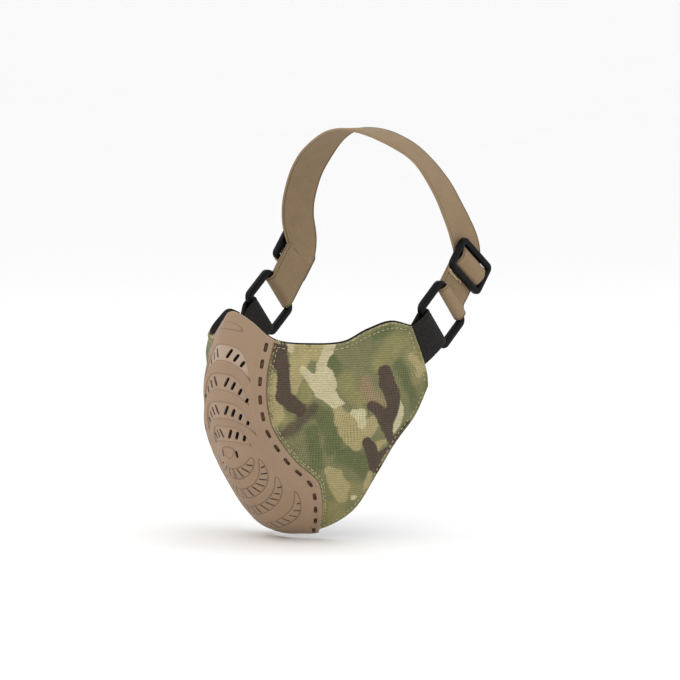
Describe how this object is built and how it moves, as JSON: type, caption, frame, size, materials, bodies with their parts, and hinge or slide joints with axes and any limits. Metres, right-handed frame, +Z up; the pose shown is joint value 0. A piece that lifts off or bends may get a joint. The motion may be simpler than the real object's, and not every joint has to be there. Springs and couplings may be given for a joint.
{
  "type": "camouflage face mask",
  "caption": "Lower-face protective mask: vented moulded front plate, padded camouflage cheeks, and an elastic over-crown band with rectangular rings and sliders.",
  "frame": {"origin": "centre of the wearer's head at the level of the strap rings", "axes": "+Z up, the mask faces -Y, +X is the wearer's left"},
  "size_m": [0.1482, 0.1588, 0.2393],
  "materials": {
    "front_plate": "matte dark-earth moulded rubber",
    "vent_mesh": "black knitted mesh",
    "cheek_cover": "woodland camouflage twill",
    "cheek_foam": "soft closed-cell padding",
    "cheek_lining": "black lining cloth",
    "webbing_tab": "black ribbed webbing",
    "strap_ring": "satin black moulding",
    "slider": "satin black moulding",
    "strap": "tan elastic band",
    "thread": "yellow-tan thread"
  },
  "bodies": {
    "root": {"front_plate": "front_plate", "vent_mesh": "vent_mesh", "left_cheek_cover": "cheek_cover", "left_cheek_foam": "cheek_foam", "left_cheek_lining": "cheek_lining", "left_webbing_tab": "webbing_tab", "right_cheek_cover": "cheek_cover", "right_cheek_foam": "cheek_foam", "right_cheek_lining": "cheek_lining", "right_webbing_tab": "webbing_tab"},
    "head_strap": {"crown_strap": "strap", "left_strap_loop": "strap", "right_strap_loop": "strap"},
    "left_ring": {"left_strap_ring": "strap_ring"},
    "left_slider": {"left_slider": "slider", "left_strap_hump": "strap", "left_bar_tack": "thread"},
    "right_ring": {"right_strap_ring": "strap_ring"},
    "right_slider": {"right_slider": "slider", "right_strap_hump": "strap", "right_bar_tack": "thread"}
  },
  "joints": [
    {"name": "strap_swing", "type": "hinge", "parent": "root", "child": "head_strap", "pos_m": [0, -0.00128, 0.0095], "axis": [1, 0, 0], "range_deg": [-15, 20], "deforming": ["left_webbing_tab", "right_webbing_tab"]},
    {"name": "left_ring_swivel", "type": "hinge", "parent": "head_strap", "child": "left_ring", "pos_m": [0.06943, -0.00128, 0.0095], "axis": [0, 0.6428, -0.766], "range_deg": [-8, 30], "deforming": ["left_strap_loop"]},
    {"name": "left_slider_travel", "type": "slide", "parent": "head_strap", "child": "left_slider", "axis": [0, 0.6157, 0.788], "range_m": [-0.008, 0.008]},
    {"name": "right_ring_swivel", "type": "hinge", "parent": "head_strap", "child": "right_ring", "pos_m": [-0.06943, -0.00128, 0.0095], "axis": [0, -0.6428, 0.766], "range_deg": [-8, 30], "deforming": ["right_strap_loop"]},
    {"name": "right_slider_travel", "type": "slide", "parent": "head_strap", "child": "right_slider", "axis": [0, 0.6157, 0.788], "range_m": [-0.008, 0.008]}
  ]
}
